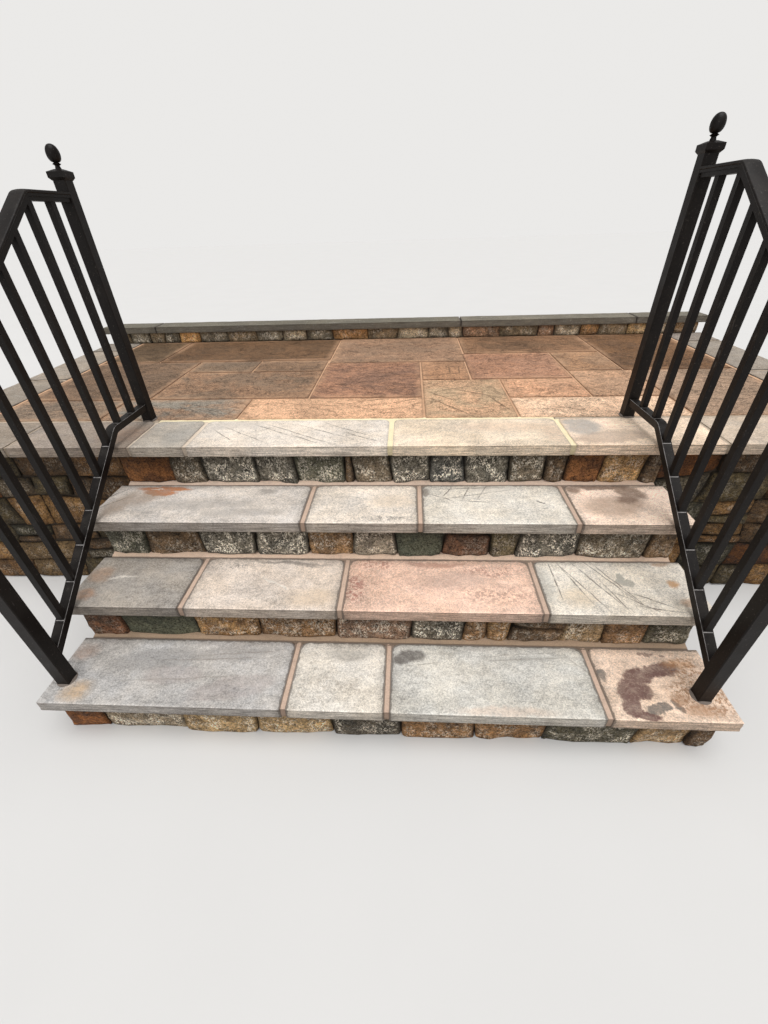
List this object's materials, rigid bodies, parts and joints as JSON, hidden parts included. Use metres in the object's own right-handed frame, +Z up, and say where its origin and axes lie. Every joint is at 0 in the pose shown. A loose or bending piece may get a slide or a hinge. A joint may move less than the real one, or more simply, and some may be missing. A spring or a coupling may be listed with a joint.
{
  "type": "outdoor stone steps",
  "caption": "Stone slab steps on rubble risers that lead up to a paved landing, with a black iron railing on each side, each with upright bars and ball-topped posts.",
  "frame": {"origin": "on the ground, at the middle of the box round the whole part", "axes": "+X along the treads, to the right of someone who walks up; +Y up the flight, towards the house; +Z up"},
  "size_m": [4.88, 3.011, 1.945],
  "materials": {
    "bluestone": "natural cleft slabs, pale and weathered on top",
    "flagstone": "natural cleft paving, tan, brown and pink",
    "fieldstone": "rough rubble facing, brown, grey and rust",
    "mortar": "struck mortar joints, pinkish tan",
    "masonry": "rough block and rubble fill, covered on every side",
    "black_iron": "black paint, half gloss, a little dusty"
  },
  "bodies": {
    "root": {"bars_left": "black_iron", "bars_right": "black_iron", "edge_slab_left": "bluestone", "edge_slab_right": "bluestone", "flank_wall_left": "fieldstone", "flank_wall_right": "fieldstone", "flight_core": "masonry", "handrail_left": "black_iron", "handrail_right": "black_iron", "landing_edge": "bluestone", "landing_mortar": "mortar", "landing_paving": "flagstone", "lower_rail_left": "black_iron", "lower_rail_right": "black_iron", "porch_core": "masonry", "porch_wall_back": "fieldstone", "porch_wall_front_left": "fieldstone", "porch_wall_front_right": "fieldstone", "porch_wall_side_left": "fieldstone", "porch_wall_side_right": "fieldstone", "post_caps_left": "black_iron", "post_caps_right": "black_iron", "post_collars": "mortar", "post_high_left": "black_iron", "post_high_right": "black_iron", "post_low_left": "black_iron", "post_low_right": "black_iron", "riser_1": "fieldstone", "riser_2": "fieldstone", "riser_3": "fieldstone", "riser_4": "fieldstone", "side_slabs_left": "bluestone", "side_slabs_right": "bluestone", "threshold_course": "fieldstone", "threshold_sill": "bluestone", "top_channel_left": "black_iron", "top_channel_right": "black_iron", "tread_1": "bluestone", "tread_2": "bluestone", "tread_3": "bluestone", "tread_mortar_1": "mortar", "tread_mortar_2": "mortar", "tread_mortar_3": "mortar"}
  },
  "joints": []
}
